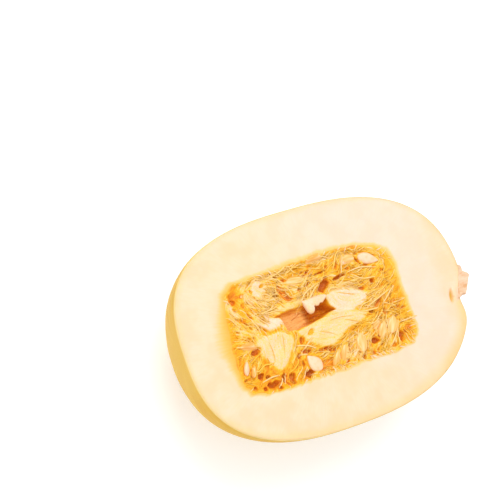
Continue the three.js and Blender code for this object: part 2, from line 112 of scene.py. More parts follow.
# Which way the strands run: x, y, heading in degrees, and the bounds of the table made from them
FLOW_LOW_X, FLOW_LOW_Y, FLOW_HIGH_X, FLOW_HIGH_Y = -80, -45, 70, 48
FLOW = [
    (-67, 10, 0), (-66, -2, -6), (-66, 25, 60), (-60, 33, 20), (-67, -15, 80), (-62, -30, -30),
    (-57, -4, -15), (-50, 15, -60), (-53, 10, -50), (-42, 24, -60), (-42, 20, -52), (-37, 15, -28),
    (-29, 13.5, -14), (-18, 12, -4), (-33, 20, -38), (-26, 24, -50), (-22, 17, -65), (-47, 5, -55),
    (-40, 9, -45), (-45, 30, 40), (-28, 31, -22), (-18, 28, -10), (-10, 30, 18), (-12, 24, -8),
    (-8, 18, 42), (-2, 22, 30), (4, 26, 12), (2, 33, -6), (8, 18, 36), (15, 21, -22), (21, 19, 15),
    (16, 28, 60), (24, 29, 80), (12, 36, -3), (30, 36, -8), (44, 33, -28), (54, 22, -70), (28, 21, -8),
    (36, 21, 0), (27, 15, -22), (40, 16, 35), (48, 20, 25), (53, 12, 20), (38, 5, 15), (46, 5, 35),
    (52, 3, 50), (46, -2, 45), (40, 0, 35), (10, 9, -60), (20, 8, -15), (30, 3, 10), (8, -4, -10),
    (20, -6, -14), (-4, -9, -6), (4, -15, 2), (10, -18, 30), (20, -14, 22), (24, -10, -18),
    (34, -7, 10), (42, -6, 32), (50, -8, 10), (54, -18, -5), (52, -26, -70), (6, -24, 66),
    (18, -23, 72), (30, -20, 58), (37, -20, 55), (45, -18, 45), (46, -26, 80), (38, -30, 35),
    (22, -31, 40), (4, -31, 35), (-10, -26, -14), (-10, -32, 20), (-20, -14, 32), (-24, -22, 70),
    (-30, -19, 50), (-28, -28, 40), (-38, -12, 84), (-30, -6, 78), (-46, -12, 88), (-44, -27, 5),
    (-38, -32, 95), (-48, -32, 60), (-56, -28, 20), (-52, -18, 65), (-58, -12, 40), (-20, 4, 12),
    (-5, 4, 10),
]

# Tones of the pulp from place to place: x, y, reach along x and along y, tone from 0, brown, to 1, cream
PATCHES = [
    (-54, 27, 5, 6, 0.52), (-46.5, 27, 2, 5, 0.9), (-66, 5, 4, 28, 0.47), (-63, -1, 4, 5, 0.46),
    (-66, -20, 5, 12, 0.45), (-50, -13, 5, 8, 0.48), (-45, -28, 22, 7, 0.4), (-24, -27, 6, 8, 0.42),
    (-34, -21, 6, 3, 0.5), (16, -12.5, 9, 2.4, 0.45), (30, -8, 8, 4, 0.52), (47, -3, 7, 8, 0.48),
    (52, 8, 6, 10, 0.62), (56, 20, 4, 9, 0.56), (14, 28, 13, 4, 0.48), (-8, 31, 10, 3, 0.48),
    (51, -23, 6, 8, 0.58), (-4, -28, 10, 4, 0.56), (33, 20, 8, 5, 0.54), (-38, 25, 5, 7, 0.8),
    (-38, 4, 9, 3, 0.97), (-25, 34, 12, 3, 0.78), (-56, 5, 6, 7, 0.72), (20, 14, 8, 2, 0.88),
    (40, -14, 9, 5, 0.76), (14, -26, 10, 6, 0.76), (-60.5, 22.5, 2.4, 5, 0.96), (-58, 15, 3, 6, 0.84),
    (-43, 1.4, 3.4, 1.2, 0.46), (-43, 18, 4, 5, 0.62), (-31, 21, 4, 4, 0.84), (-42, 10, 4, 2.5, 0.84),
    (-18, 11, 10, 2, 0.82), (-47, -4, 6, 5, 0.85), (26, 30, 5, 3, 0.92), (48, 30, 5, 5, 0.74),
    (24, 37.5, 12, 1, 0.42), (6, 36, 7, 2, 0.88), (-12, 24, 8, 4, 0.7), (40, -29, 12, 4, 0.62),
    (34, 4, 5, 4, 0.72),
]

# Films: thin pale skins that lie on the pulp, each with its lift, tone and outline in the cut plane
FILMS = {
    "right": (1.3, 0.96, [
        (6, 1), (6.5, 7), (5, 11.5), (9, 13.5), (18, 13), (27, 10.5), (33.5, 6.6), (31.5, 2), (20, -2),
        (10, -1),
    ]),
    "fan": (1, 0.87, [
        (-22, -4.5), (-12, -2.8), (0, -0.8), (12, -0.5), (24, -2.5), (31, -5.5), (25, -9), (14, -11.5),
        (6, -16), (-1, -19.5), (-9, -17), (-15, -13), (-18, -9),
    ]),
    "lower_left": (1, 0.88, [
        (-50, -3), (-42, -1.5), (-33, -1.5), (-26, -5), (-25, -10), (-29, -15), (-33, -20),
        (-36.5, -23.6), (-41.5, -23.6), (-45.5, -17), (-50, -10),
    ]),
    "left": (1.4, 0.98, [
        (-42, 3.4), (-40, 5.5), (-35, 7.5), (-30, 7), (-28, 4), (-33, 1.2), (-38, 1),
    ]),
    "upper_left": (0.7, 0.92, [
        (-42, 24), (-40, 31), (-35, 33), (-31, 30), (-32, 25), (-36, 21),
    ]),
    "lip": (0.9, 0.84, [
        (-34, 10), (-29, 13.6), (-20, 14.2), (-11, 14), (-11, 11), (-20, 10.6), (-28, 9.9),
    ]),
    "upper_right": (0.8, 0.97, [
        (22, 28.5), (24, 31.5), (30, 32), (32, 29.5), (29, 28), (24, 27),
    ]),
}

# Nub: the white round end that hangs over the hollow
NUB_OUTLINE = [
    (-12.2, 12.6), (-11.2, 10.5), (-10.5, 8), (-9.9, 5.4), (-8.8, 3.8), (-7.2, 3.3), (-5.5, 4),
    (-4.7, 5.6), (-5.2, 7), (-4, 7.8), (-2.6, 7), (-1.2, 7.2), (0.4, 8.6), (2.4, 8.2), (4, 9.4),
    (6, 11.4), (6, 14.2), (2, 15.4), (-4, 15.2), (-9.6, 14),
]
NUB_MIDDLE = (-5.5, 10.8)

# Seeds: x, y, heading of the point, roll, sink, and size against a full seed along and across
SEED_LENGTH, SEED_WIDTH, SEED_THICKNESS = 14.5, 7.8, 2.7
SEEDS = [
    (42.7, 26.8, -24, 8, 0.9, 1.02, 1), (-61, -17, 70, 38, 0.8, 0.6, 0.62),
    (-16.8, -25.8, 122, 6, 0.6, 0.85, 1.27),
]
WRAPPED_SEEDS = [
    (-57.2, -20, 66, 30, 0.7, 0.48, 0.4), (28, 30, 172, -20, 2.2, 0.7, 0.8),
    (6, 35.4, 5, 62, 1.9, 0.9, 1), (18.5, -22.5, 76, 0, 1.3, 0.85, 1.05),
    (6.5, -25, 66, 25, 2, 0.95, 1), (36.5, -19, 58, 10, 1.6, 0.8, 1),
    (43.5, -17.5, 62, -10, 1.6, 0.8, 0.9), (0, -28, 60, 20, 2.4, 1, 1), (-44, 21, -45, 30, 2.8, 1, 1),
    (-10.5, 25.8, -5, 10, 1.8, 0.95, 0.75), (-55, -5.5, -12, 55, 1.9, 0.8, 1),
    (34, -14.5, 30, 30, 2.2, 0.6, 0.7),
]

# Strands: how many at most, points and step of a path, radius, rise over the pulp, spread of heading in
# degrees, wander, tone against what they lie on, sides, seed
STRAND_SETS = {
    "strands_thick": (210, 15, 1.1, (0.3, 0.5), (0.1, 0.9), 22, 42, 0.13, 6, 11),
    "strands_gold": (700, 11, 1.25, (0.2, 0.36), (0.0, 0.6), 22, 34, 0.08, 4, 12),
    "strands_fine": (380, 11, 1.2, (0.12, 0.2), (0.3, 1.1), 36, 45, 0.2, 4, 13),
}

# Short strands at the edge of the cavity: how many, points of a path, length, radius, seed
EDGE_STRANDS = (90, 9, (1.5, 4.5), (0.2, 0.42), 17)

STRAND_SINK, STRAND_FLATNESS, BOLD_FLATNESS = 0.5, 1.15, 1.2
# Strand tone limits, and the painted shade that darkens each strand's underside
STRAND_TONES, UNDERSIDE_PAINTED_SHADE = (0.25, 0.83), 0.22

# Strands stay off deep pockets, off one large pocket altogether, and mostly off the films.
OPEN_PIT = 4.4
CLEARING = (-54.3, 27, 5.6, 4.4, 80)
MOST_ON_FILM = 0.34

# Single strands that stand out: radius, rise over the pulp, tone, and the way points of each
SINGLE_STRANDS = {
    "bright_strands": (0.4, 0.9, 0.84, [
        [(21, 21), (23, 28), (26, 34)], [(-55, -28), (-47, -26.3), (-41, -26.6)],
        [(48, -17.4), (55, -17.2), (61.5, -17)], [(-25, -12.5), (-18, -14.5), (-12, -18)],
        [(-12, -10), (-18, -14), (-25, -20)], [(41, -4), (47, 1), (54, 6)],
        [(-40, -33), (-38.4, -30), (-37, -26)], [(-45, -34), (-42, -31.5), (-40, -28)],
        [(30, -3), (40, 1), (52, 5)], [(-64, -3), (-57, -4.6), (-50, -6)],
        [(24, 22), (35, 23), (48, 20)], [(-29, -35), (-22, -26), (-14, -21)],
        [(37, -31), (44, -24), (49, -15)], [(-25, -18.6), (-19, -19.4), (-13, -23.5)],
        [(-22, -32), (-17, -32.6), (-12.5, -29)],
    ]),
    "dark_veins": (0.13, 0.3, 0.6, [
        [(-32, -1), (-31.8, -6), (-33, -12), (-35, -17)], [(11, -5), (18, -8.5), (26, -11)],
        [(0, -4), (10, -3.4), (22, -6)], [(-42, -4), (-41, -12), (-42, -20)],
        [(-8, -8), (0, -11), (5, -15)], [(12, 12), (20, 9), (27, 7)],
    ]),
    "hollow_veins": (0.17, 0.2, 0.1, [
        [(-21.5, 3), (-17, 4.6), (-12.5, 6.6)], [(-27, -1), (-22, -2.2), (-16, -2.4)],
    ]),
}

# Stem stub: place and heading of its seat, then distance along it and radius
STEM_SEAT_X, STEM_SEAT_Y, STEM_HEADING = 97.5, -3.5, -24.0
STEM_RINGS = [(-1.5, 11), (0.5, 11.8), (3, 11.4), (4.8, 8.4), (8.4, 7.6)]
STEM_RIDGES, STEM_RIDGE_HEIGHT = 5, 0.06

# A furrow beside the stem and marks on the flesh: x, y, half length, half width, heading
FURROW, FURROW_DEPTH = (90.6, -11.6, 4.6, 1.4, 76.0), 2.2
SMEARS = {"cork": (95.2, -11.6, 4.6, 1.8, 62), "speck": (68.3, -56.2, 0.9, 0.6, 20)}

# Camera: where it looks from, and which way its picture's right and top point
CAMERA_PLACE = Vector((-411.9, -72.8, 870.5))
CAMERA_RIGHT = Vector((0.8736, -0.3238, 0.3632))
CAMERA_UP = Vector((0.2392, 0.9358, 0.2591))
CAMERA_LENS, CAMERA_SENSOR = 105.05, 36.0

# Floor and lights. A lamp has its place and its width in metres, and its power.
FLOOR_HALF, FLOOR_GLOW, SKY_STRENGTH = 2500, 0.2, 0.9
FLOOR_COLORS = (0.9, 0.94, 0.97), (0.91, 0.95, 0.98)
LAMPS = {"key": ((0.1, 0.6, 1.1), 1.1, 8.0), "fill": ((-0.9, -0.4, 0.7), 0.8, 2.0)}
LAMP_AIM = Vector((0, 0, 0.05))

# How fine the meshes are, and the size and start of the tables that noise comes from
PLAN_SIDES, RIND_RINGS, FLESH_RINGS, FACE_RINGS, WALL_RINGS = 480, 72, 40, 65, 13
BED_ROWS, BED_COLUMNS = 400, 230
NOISE_CELLS, NOISE_SHIFT = 256, 1000.5


# Numbers and fields


def ease(t):
    """0 up to 0 and 1 from 1 on, with a smooth rise between."""
    s = np.clip(t, 0, 1)
    return s * s * (3 - 2 * s)


def full_curve(u, power):
    """A rounded profile, 1 at 0 and 0 at 1, fuller with a higher power."""
    return np.clip(1 - np.abs(u) ** power, 0, None) ** (1 / power)


def arch(share):
    """0 at both ends of a path and 1 in its middle."""
    return 4 * share * (1 - share)


def taper(share, ends):
    """How thick a strand is along its path, from its share at the ends to 1 in the middle."""
    return ends + (1 - ends) * np.sqrt(arch(share))


def blended(table, i, j, a, b):
    """The value in a table at (i + a, j + b), from its four neighbours."""
    i0, j0 = i % table.shape[0], j % table.shape[1]
    i1, j1 = (i + 1) % table.shape[0], (j + 1) % table.shape[1]
    low = table[i0, j0] * (1 - a) + table[i1, j0] * a
    high = table[i0, j1] * (1 - a) + table[i1, j1] * a
    return low * (1 - b) + high * b


def noise_field(seed):
    """Smooth random values from -1 to 1 over the plane, the same for the same seed."""
    table = np.random.default_rng(seed).uniform(-1, 1, (NOISE_CELLS, NOISE_CELLS))

    def field(x, y, cell):
        u, v = np.asarray(x) / cell + NOISE_SHIFT, np.asarray(y) / cell + NOISE_SHIFT
        i, j = np.floor(u).astype(int), np.floor(v).astype(int)
        return blended(table, i, j, ease(u - i), ease(v - j))

    return field


broad = noise_field(1)
fine = noise_field(2)


def turned(x, y, middle_x, middle_y, heading):
    """How far a place is from a middle, along a heading and across it."""
    c, s = math.cos(math.radians(heading)), math.sin(math.radians(heading))
    return (x - middle_x) * c + (y - middle_y) * s, (y - middle_y) * c - (x - middle_x) * s


def ellipse_reach(x, y, middle_x, middle_y, long, wide, heading):
    """0 in the middle of an ellipse and 1 on its edge."""
    along, across = turned(x, y, middle_x, middle_y, heading)
    return np.hypot(along / long, across / wide)


def depth_inside(x, y, outline):
    """Distance in from an outline: above 0 inside it, below 0 outside."""
    x, y = np.asarray(x, float), np.asarray(y, float)
    nearest = np.full(x.shape, 1e9)
    inside = np.zeros(x.shape, bool)
    for (ax, ay), (bx, by) in zip(outline, outline[1:] + outline[:1]):
        dx, dy = bx - ax, by - ay
        t = np.clip(((x - ax) * dx + (y - ay) * dy) / (dx * dx + dy * dy), 0, 1)
        nearest = np.minimum(nearest, np.hypot(x - ax - t * dx, y - ay - t * dy))
        if ay != by:
            crosses = (ay > y) != (by > y)
            inside ^= crosses & (x < ax + (y - ay) * dx / dy)
    return np.where(inside, nearest, -nearest)


def along_points(points, marks, at):
    """Places along a line through points that have a mark each, at marks of their own."""
    return np.stack([np.interp(at, marks, points[:, k]) for k in (0, 1)], -1)


def smooth_path(way_points, count):
    """Points spaced along a rounded path through way points."""
    p = np.array(way_points, float)
    lengths = np.concatenate([[0], np.cumsum(np.hypot(*np.diff(p, axis=0).T))])
    path = along_points(p, lengths, np.linspace(0, lengths[-1], count))
    for _ in range(count // 3):
        path[1:-1] = (path[:-2] + 2 * path[1:-1] + path[2:]) / 4
    return path


def closed_line(outline, count):
    """Points on an outline, equally many on each of its sides."""
    corners = np.array(outline + outline[:1], float)
    at = np.linspace(0, len(outline), count + 1)[:-1]
    return along_points(corners, np.arange(len(corners)), at)


def rounded(values, times):
    """Values round a closed ring, smoothed."""
    for _ in range(times):
        values = (np.roll(values, 1, 0) + 2 * values + np.roll(values, -1, 0)) / 4
    return values


def edge_table():
    """Distance from the middle of the cavity to its edge, for equal angles from -180 degrees on."""
    line = closed_line(CAVITY_EDGE, count=2400) - CAVITY_MIDDLE
    angles = np.arctan2(line[:, 1], line[:, 0])
    order = np.argsort(angles)
    table_angles = np.linspace(-math.pi, math.pi, 721)[:-1]
    radii = np.interp(table_angles, angles[order], np.hypot(*line.T)[order], period=2 * math.pi)
    radii = rounded(radii, times=12)
    x, y = radii * np.cos(table_angles), radii * np.sin(table_angles)
    ragged = 0.4 + 0.5 * ease((-y - 20) / 10)
    return table_angles, radii + ragged * broad(x, y, 2.0) + 0.3 * fine(x, y, 5)


EDGE_ANGLES, EDGE_RADII = edge_table()


def edge_radius(angle):
    return np.interp(angle, EDGE_ANGLES, EDGE_RADII, period=2 * math.pi)


def plan_reach(x, y):
    """0 in the middle of the cavity and 1 at its edge."""
    dx, dy = x - CAVITY_MIDDLE[0], y - CAVITY_MIDDLE[1]
    return np.hypot(dx, dy) / edge_radius(np.arctan2(dy, dx))


def plan_place(angle, reach):
    """The place at an angle and a distance from the middle of the cavity."""
    return CAVITY_MIDDLE[0] + reach * np.cos(angle), CAVITY_MIDDLE[1] + reach * np.sin(angle)


def wall_rings(edge, shares, top, bottom, width=1.0):
    """Rings down the wall of the cavity. A share is 0 at its edge and 1 at the bottom."""
    rings = []
    for share in shares:
        plan = (edge - CAVITY_MIDDLE) * full_curve(share, WALL_FULLNESS) * width + CAVITY_MIDDLE
        rings.append(np.column_stack([plan, np.full(len(edge), top - (top - bottom) * share)]))
    return rings


def flow_tables():
    """Cosine and sine of twice the heading, for each mm: a heading has no front or back."""
    gx, gy = np.mgrid[FLOW_LOW_X:FLOW_HIGH_X, FLOW_LOW_Y:FLOW_HIGH_Y]
    c, s = np.zeros(gx.shape), np.zeros(gx.shape)
    for mark_x, mark_y, heading in FLOW:
        weight = ((gx - mark_x) ** 2 + (gy - mark_y) ** 2 + 6) ** -1.8
        c += weight * math.cos(2 * math.radians(heading))
        s += weight * math.sin(2 * math.radians(heading))
    length = np.hypot(c, s)
    return c / length, s / length


FLOW_TABLES = flow_tables()


def flow_heading(x, y):
    """The heading of the strands at any place, in radians."""
    i = np.clip(x - FLOW_LOW_X, 0, FLOW_HIGH_X - FLOW_LOW_X - 1.001)
    j = np.clip(y - FLOW_LOW_Y, 0, FLOW_HIGH_Y - FLOW_LOW_Y - 1.001)
    i0, j0 = i.astype(int), j.astype(int)
    c, s = (blended(table, i0, j0, i - i0, j - j0) for table in FLOW_TABLES)
    return 0.5 * np.arctan2(s, c)


def flow_paths(x, y, step, points, bias=0.0, wander=0.0, offset=0.0):
    """Paths along the flow with (x, y) in their middle. bias turns a path, and wander makes it curl."""
    halves = []
    for back in (0, math.pi):
        px, py = x.copy(), y.copy()
        last = flow_heading(px, py) + bias + back
        half = []
        for _ in range(points // 2):
            angle = flow_heading(px, py) + bias + wander * fine(px + offset, py - offset, 5.0)
            angle = np.where(np.cos(angle - last) < 0, angle + math.pi, angle)
            px, py, last = px + step * np.cos(angle), py + step * np.sin(angle), angle
            half.append((px, py))
        halves.append(half)
    return np.array(halves[1][::-1] + [(x, y)] + halves[0]).transpose(1, 2, 0)


# Form of the pulp


def films_at(x, y, softness):
    """For each film its lift, its tone, and a share that is 1 on the film and 0 off it."""
    for lift, tone, outline in FILMS.values():
        yield lift, tone, ease((depth_inside(x, y, outline) + softness / 2) / softness)


def film_share(x, y, softness):
    return np.max([share for _, _, share in films_at(x, y, softness)], axis=0)


def small_pits():
    """More pockets between the strands, in the bands above and below and at both ends."""
    rng = np.random.default_rng(SMALL_PITS["seed"])
    found = []
    while len(found) < SMALL_PITS["count"]:
        x, y = rng.uniform(-66, 56), rng.uniform(-34, 33)
        is_stringy = y < -18 or x > 32 or x < -46 or y > 22
        at = np.array(x), np.array(y)
        if is_stringy and plan_reach(*at) < 0.95 and film_share(*at, 2.0) < 0.1:
            size = rng.uniform(*SMALL_PITS["size"])
            found.append((x, y, size * 1.6, size, math.degrees(flow_heading(*at)), size * 2))
    return found


ALL_PITS = PITS + small_pits()


def ground(x, y):
    """Height of the pulp without its pockets and its hollow."""
    inward = ease((1 - plan_reach(x, y)) / 0.11)
    lumps = 0.6 * np.sin(0.31 * x) * np.cos(0.37 * y) + 0.6 * broad(x, y, 7)
    for lift, _, share in films_at(x, y, 4):
        lumps = lumps + lift * share
    return CUT_Z + 0.05 - (PULP_DEPTH - lumps) * inward


def hollow_depth(x, y):
    down = HOLLOW_SHALLOW + (HOLLOW_DEEP - HOLLOW_SHALLOW) * ease((x + 15) / 14)
    edge = depth_inside(x, y, HOLLOW_OUTLINE) + 0.3 * broad(x, y, 3) + 0.2
    return down * ease(edge / 1.6)


def pit_depth(x, y):
    depth = np.zeros(np.shape(x))
    for *ellipse, deep in ALL_PITS:
        reach = ellipse_reach(x, y, *ellipse) + 0.3 * fine(x, y, 2.2)
        depth = np.maximum(depth, deep * ease((1.25 - reach) / 0.7))
    return depth


def combed(x, y, length, cell, seed):
    """Random streaks along the flow, from about -1 to 1."""
    step = cell * 0.7
    xs, ys = flow_paths(x.ravel(), y.ravel(), step, 2 * int(length / step / 2) + 1)
    streaks = noise_field(seed)(xs, ys, cell).mean(1)
    return np.clip(streaks / streaks.std() * 0.5, -1.4, 1.4).reshape(x.shape)


def tone_at(x, y):
    """How light the pulp is, from 0, brown, to 1, cream."""
    total = np.full(np.shape(x), 0.35)
    tone = 0.64 * total
    for px, py, long, wide, value in PATCHES:
        weight = np.exp(-(((x - px) / long) ** 2 + ((y - py) / wide) ** 2))
        total, tone = total + weight, tone + weight * value
    tone = tone / total + 0.07 * broad(x, y, 5) + 0.06 * fine(x, y, 2.4)
    for _, film_tone, share in films_at(x, y, 2.4):
        tone = tone + (film_tone - tone) * share
    return tone


# Meshes


def new_object(name, data):
    made = bpy.data.objects.new(name, data)
    bpy.context.scene.collection.objects.link(made)
    return made


def new_mesh(name, material, points, quads=(), triangles=(), **marks):
    """A smooth mesh from points in millimetres. Each mark is a number or a vector for each point."""
    mesh = bpy.data.meshes.new(name)
    faces = [np.asarray(f, int).tolist() for f in (quads, triangles)]
    mesh.from_pydata((np.asarray(points, float) * MM).tolist(), [], faces[0] + faces[1])
    mesh.shade_smooth()
    for key, values in marks.items():
        values = np.asarray(values, np.float32)
        kind, field = ("FLOAT", "value") if values.ndim == 1 else ("FLOAT_VECTOR", "vector")
        mesh.attributes.new(key, kind, "POINT").data.foreach_set(field, values.ravel())
    mesh.materials.append(material)
    mesh.update()
    return new_object(name, mesh)


def new_piece(name, material, node, slot, *surface, **marks):
    """One piece of the squash. Its surface is points, quads and triangles."""
    piece = new_mesh(name, material, *surface, **marks)
    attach(piece, BODY)
    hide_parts(node)


def ring_faces(rings, sides, first=0, wrap=True):
    """Quads between successive rings of points."""
    i, j = np.meshgrid(np.arange(rings - 1), np.arange(sides if wrap else sides - 1), indexing="ij")
    here = first + i * sides + j
    beside = first + i * sides + (j + 1) % sides
    return np.stack([here, beside, beside + sides, here + sides], -1).reshape(-1, 4)


def lofted(rings, first_pole, last_pole):
    """A closed surface through rings (count, sides, 3), with a pole at each end."""
    count, sides = rings.shape[:2]
    points = np.vstack([first_pole, rings.reshape(-1, 3), last_pole])
    j = np.arange(sides)
    k = (j + 1) % sides
    top = 1 + (count - 1) * sides
    start = np.stack([np.zeros_like(j), 1 + k, 1 + j], -1)
    end = np.stack([np.full_like(j, 1 + count * sides), top + j, top + k], -1)
    return points, ring_faces(count, sides, 1), np.vstack([start, end])


def along_rings(values, first=0, last=0):
    """One value for each ring point, with the two poles' values at the ends."""
    return np.concatenate([[first], np.ravel(values), [last]])


def repeated(quads, triangles, count, points_each):
    """The faces of several copies of a surface."""
    firsts = np.arange(count)[:, None, None] * points_each
    return (quads + firsts).reshape(-1, 4), (triangles + firsts).reshape(-1, 3)


def tubes(xs, ys, zs, radii, sides, flatness):
    """Closed thin tubes with pointed ends, and how far up each of their points faces.

    xs, ys, zs and radii hold a row for each tube.
    """
    count, length = xs.shape
    p = np.stack([xs, ys, zs], -1)
    along = np.gradient(p, axis=1)
    along /= np.linalg.norm(along, axis=-1, keepdims=True) + 1e-9
    across = np.cross((0, 0, 1), along)
    across /= np.linalg.norm(across, axis=-1, keepdims=True) + 1e-9
    over = np.cross(along, across)
    angle = np.arange(sides) / sides * 2 * math.pi
    wide = across[:, :, None] * (flatness * np.cos(angle))[:, None]
    high = over[:, :, None] * (np.sin(angle) / flatness)[:, None]
    inner = p[:, 1:-1, None] + (wide + high)[:, 1:-1] * radii[:, 1:-1, None, None]
    points = np.concatenate([p[:, :1], inner.reshape(count, -1, 3), p[:, -1:]], axis=1).reshape(-1, 3)
    _, quads, triangles = lofted(np.zeros((length - 2, sides, 3)), (0, 0, 0), (0, 0, 0))
    up = along_rings(np.tile(np.sin(angle), length - 2))
    return points, *repeated(quads, triangles, count, (length - 2) * sides + 2), up


# Form of the fruit


def past_roll(x, y):
    return turned(x, y, 0, 0, ROLL_HEADING)[0] - ROLL_FROM


def cut_height(x, y):
    return CUT_Z - ROLL_DEPTH * np.clip(past_roll(x, y) / ROLL_WIDTH, 0, None) ** 1.7


def sway(x):
    return SWAY_BEND * (x / SWAY_AT) ** 2 + SWAY_LEAN * (x / SWAY_AT)


def room_inside(x, y, z):
    """Above 0 inside the whole fruit."""
    stem_side = x > 0
    reach = np.where(stem_side, STEM_REACH, BLOSSOM_REACH)
    fullness = np.where(stem_side, STEM_FULLNESS, BLOSSOM_FULLNESS)
    radius = WIDEST_RADIUS * full_curve(x / reach, fullness)
    dy, dz = y - sway(x), z - AXIS_Z
    height = RIB_MIDDLE + (RIB_SHOULDER - RIB_MIDDLE) * ease((x - 20) / 60)
    valley = 0.5 - 0.5 * np.cos(RIB_COUNT * np.arctan2(dz, dy))
    return radius - height * valley * np.clip(radius / 20, 0, 1) - np.hypot(dy, dz)


def farthest(is_within, longest=140.0):
    """For each plan direction, how far one can go while is_within holds."""
    low, high = np.zeros(PLAN_SIDES), np.full(PLAN_SIDES, longest)
    for _ in range(36):
        middle = (low + high) / 2
        within = is_within(middle)
        low, high = np.where(within, middle, low), np.where(within, high, middle)
    return low


plan_angle = np.arange(PLAN_SIDES) / PLAN_SIDES * 2 * math.pi
plan_x, plan_y = np.cos(plan_angle), np.sin(plan_angle)


def dimpled(points):
    from_stem = np.hypot(points[..., 1] - DIMPLE_Y, points[..., 2] - AXIS_Z) / DIMPLE_RADIUS
    moved = points.copy()
    moved[..., 0] -= np.where(points[..., 0] > 0, DIMPLE_DEPTH * np.exp(-(from_stem**2)), 0)
    return moved


def bowl_rings(count, inset):
    """Rings of the skin from the rim down to near the lowest point, drawn in by inset."""
    rim_height = np.full(PLAN_SIDES, CUT_Z)
    for _ in range(8):
        reach = farthest(lambda r: room_inside(plan_x * r, plan_y * r, rim_height) > 0)
        rim_height = cut_height(plan_x * reach, plan_y * reach)
    rim_slope = np.arctan2(CUT_Z - rim_height, reach)
    rings = []
    for share in np.linspace(0, 1, count + 1)[:-1]:
        slope = rim_slope + (math.pi / 2 - rim_slope) * share
        x, y, z = plan_x * np.cos(slope), plan_y * np.cos(slope), np.sin(slope)
        reach = farthest(lambda r: room_inside(x * r, y * r, CUT_Z - z * r) > 0) - inset
        rings.append(np.stack([x * reach, y * reach, CUT_Z - z * reach], -1))
    rings = dimpled(np.array(rings))
    rings[..., 2] = np.maximum(rings[..., 2], inset)
    return rings


# Materials


class Shader:
    """A material with a Principled shader, and short calls for the nodes that feed it."""

    def __init__(self, name, roughness, gloss, coat=0.0, scatter=0.0, scatter_size=0.002, glow=0.0):
        self.material = bpy.data.materials.new(name)
        self.material.use_nodes = True
        self.nodes = self.material.node_tree.nodes
        self.links = self.material.node_tree.links
        self.shader = self.nodes["Principled BSDF"]
        settings = {
            "Roughness": roughness,
            "Specular IOR Level": gloss,
            "Coat Weight": coat,
            "Coat Roughness": 0.25,
            "Subsurface Weight": scatter,
            "Subsurface Scale": scatter_size,
            "Subsurface Radius": (1.0, 0.6, 0.3),
            "Emission Color": (1, 1, 1, 1),
            "Emission Strength": glow,
        }
        for socket, value in settings.items():
            self.shader.inputs[socket].default_value = value

    def feed(self, socket, value):
        if isinstance(value, bpy.types.NodeSocket):
            self.links.new(value, socket)
        elif isinstance(value, tuple) and socket.type == "RGBA":
            socket.default_value = (*value, 1)
        else:
            socket.default_value = value

    def node(self, kind, inputs=(), **settings):
        made = self.nodes.new(kind)
        for key, value in settings.items():
            setattr(made, key, value)
        for key, value in dict(inputs).items():
            self.feed(made.inputs[key], value)
        return made

    def place(self, stretch=(1, 1, 1)):
        """Object coordinates in millimetres, stretched."""
        where = self.node("ShaderNodeTexCoord").outputs["Object"]
        return self.scaled(where, tuple(1000 / s for s in stretch))

    def scaled(self, vector, scale):
        return self.node("ShaderNodeMapping", {"Vector": vector, "Scale": scale}).outputs["Vector"]

    def mark(self, name, output="Fac"):
        return self.node("ShaderNodeAttribute", attribute_name=name).outputs[output]

    def noise(self, where, size, detail=2.0):
        inputs = {"Vector": where, "Scale": 1 / size, "Detail": detail}
        return self.node("ShaderNodeTexNoise", inputs).outputs["Fac"]

    def spread(self, value, low, high, to_low=0.0, to_high=1.0):
        inputs = {"Value": value, "From Min": low, "From Max": high, "To Min": to_low, "To Max": to_high}
        return self.node("ShaderNodeMapRange", inputs, interpolation_type="SMOOTHSTEP").outputs["Result"]

    def math(self, operation, a, b):
        return self.node("ShaderNodeMath", {0: a, 1: b}, operation=operation).outputs[0]

    def mix(self, share, a, b):
        return self.node("ShaderNodeMix", {0: share, 6: a, 7: b}, data_type="RGBA").outputs[2]

    def ramp(self, value, stops):
        made = self.node("ShaderNodeValToRGB", {"Fac": value})
        elements = made.color_ramp.elements
        while len(elements) < len(stops):
            elements.new(0.5)
        for element, (position, color) in zip(elements, stops):
            element.position = position
            element.color = (*color, 1)
        return made.outputs["Color"]

    def color(self, value):
        self.feed(self.shader.inputs["Base Color"], value)

    def bump(self, height, distance, strength):
        inputs = {"Height": height, "Distance": distance * MM, "Strength": strength}
        self.feed(self.shader.inputs["Normal"], self.node("ShaderNodeBump", inputs).outputs["Normal"])


# Colours by tone, from dark to light
PULP_TONES = [
    (0.0, (0.42, 0.085, 0.006)), (0.2, (0.7, 0.195, 0.012)), (0.4, (0.86, 0.34, 0.014)),
    (0.55, (0.84, 0.42, 0.013)), (0.7, (0.85, 0.505, 0.058)), (0.82, (0.86, 0.57, 0.2)),
    (0.88, (0.88, 0.58, 0.28)), (0.94, (0.87, 0.59, 0.37)), (1.0, (0.87, 0.63, 0.45)),
]
RIND_TONES = [(0.3, (0.6, 0.3, 0.018)), (0.52, (0.64, 0.36, 0.027)), (0.72, (0.68, 0.41, 0.055))]
SEED_SKIN_TONES = [(0.0, (0.84, 0.38, 0.06)), (0.4, (0.9, 0.5, 0.16)), (1.0, (0.94, 0.64, 0.34))]
CORK_TONES = [(0.3, (0.66, 0.4, 0.22)), (0.5, (0.76, 0.5, 0.32)), (0.7, (0.82, 0.58, 0.41))]
HOLLOW_TAN = (0.8, 0.38, 0.11)

# The edge of the cavity and the stained flesh round it, each on the right and on the left
EDGE_COLORS = (0.93, 0.53, 0.15), (0.92, 0.42, 0.045)
STAIN_COLORS = (0.93, 0.55, 0.17), (0.93, 0.49, 0.095)

# Marks on the flesh, each over the one before: how much it covers at most, and its colour
FLESH_MARKS = {
    "pale": (0.45, (0.92, 0.635, 0.56)),
    "rim": (1, (0.9, 0.57, 0.23)),
    "cork": (0.75, (0.86, 0.55, 0.38)),
    "speck": (0.8, (0.4, 0.3, 0.15)),
    "furrow": (1, (0.7, 0.42, 0.06)),
}


